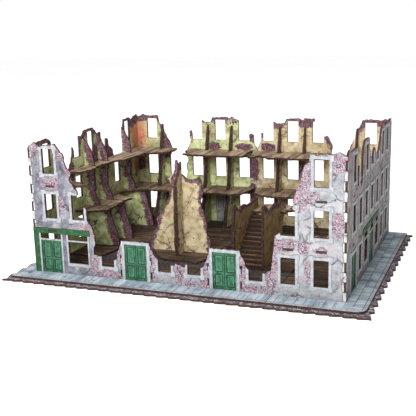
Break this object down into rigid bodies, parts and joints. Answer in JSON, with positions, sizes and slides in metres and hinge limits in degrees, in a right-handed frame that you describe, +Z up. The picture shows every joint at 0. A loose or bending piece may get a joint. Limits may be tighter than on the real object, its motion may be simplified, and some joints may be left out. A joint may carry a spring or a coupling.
{
  "type": "miniature terrain ruin",
  "caption": "Ruined town block for tabletop miniature games, laser cut from printed board, in modules that pull apart.",
  "frame": {"origin": "centre of the base board's bounding rectangle, on its underside", "axes": "+X along the front wall towards the shop side street, +Y from the street front to the back wall, +Z up"},
  "size_m": [0.522, 0.386, 0.1961],
  "materials": {
    "wall_board": "matte",
    "rubble_board": "matte",
    "pavement_board": "matte",
    "plank_board": "matte",
    "green_plaster_board": "matte",
    "wallpaper_board": "matte",
    "stair_board": "matte",
    "tread_board": "matte",
    "white_trim": "matte",
    "green_trim": "matte",
    "grey_door": "matte"
  },
  "bodies": {
    "back_right": {"back_wall_right": "wall_board", "base_back_right": "rubble_board", "deck_first_right": "plank_board", "deck_second_right": "plank_board", "floor_back_right": "plank_board", "pavement_back_right": "pavement_board", "ribs_back_right": "green_plaster_board", "right_wall_back": "wall_board", "stair_carriage": "stair_board", "stair_landing": "plank_board", "stair_treads": "tread_board", "stair_wall_left": "wallpaper_board", "stair_wall_right": "wallpaper_board", "window_trim_back_right": "white_trim"},
    "back_left": {"back_wall_left": "wall_board", "base_back_left": "rubble_board", "deck_first_left": "plank_board", "deck_first_middle": "plank_board", "deck_second_left": "plank_board", "deck_second_middle": "plank_board", "floor_back_left": "plank_board", "interior_door": "grey_door", "left_wall_back": "wall_board", "partition_fin": "wallpaper_board", "partition_panel": "wallpaper_board", "pavement_back_left": "pavement_board", "ribs_back_left": "green_plaster_board", "room_panel_far": "green_plaster_board", "room_panel_middle": "green_plaster_board", "room_panel_near": "green_plaster_board", "window_trim_back_left": "white_trim"},
    "front_left": {"base_front_left": "rubble_board", "deck_first_front_left": "plank_board", "deck_second_front_left": "plank_board", "facade_left": "wall_board", "floor_front_left": "plank_board", "left_wall_front": "wall_board", "pavement_front_left": "pavement_board", "shop_door_left": "green_trim", "shop_fascia_left": "green_trim", "street_door_left": "green_trim", "window_trim_front_left": "white_trim"},
    "front_middle": {"base_front_middle": "rubble_board", "facade_middle": "wall_board", "floor_front_middle": "plank_board", "pavement_front_middle": "pavement_board", "street_door_middle": "green_trim", "window_trim_front_middle": "white_trim"},
    "front_right": {"base_front_right": "rubble_board", "deck_first_front_right": "plank_board", "deck_second_front_right": "plank_board", "facade_right": "wall_board", "floor_front_right": "plank_board", "pavement_front_right": "pavement_board", "right_wall_front": "wall_board", "shop_door_right": "green_trim", "shop_fascia_right": "green_trim", "side_door_right": "green_trim", "window_trim_front_right": "white_trim"}
  },
  "joints": [
    {"name": "slide_back_left", "type": "slide", "parent": "back_right", "child": "back_left", "axis": [-1, 0, 0], "range_m": [0, 0.06]},
    {"name": "slide_front_left", "type": "slide", "parent": "back_right", "child": "front_left", "axis": [0, -1, 0], "range_m": [0, 0.06]},
    {"name": "slide_front_middle", "type": "slide", "parent": "back_right", "child": "front_middle", "axis": [0, -1, 0], "range_m": [0, 0.06]},
    {"name": "slide_front_right", "type": "slide", "parent": "back_right", "child": "front_right", "axis": [1, 0, 0], "range_m": [0, 0.06]}
  ]
}
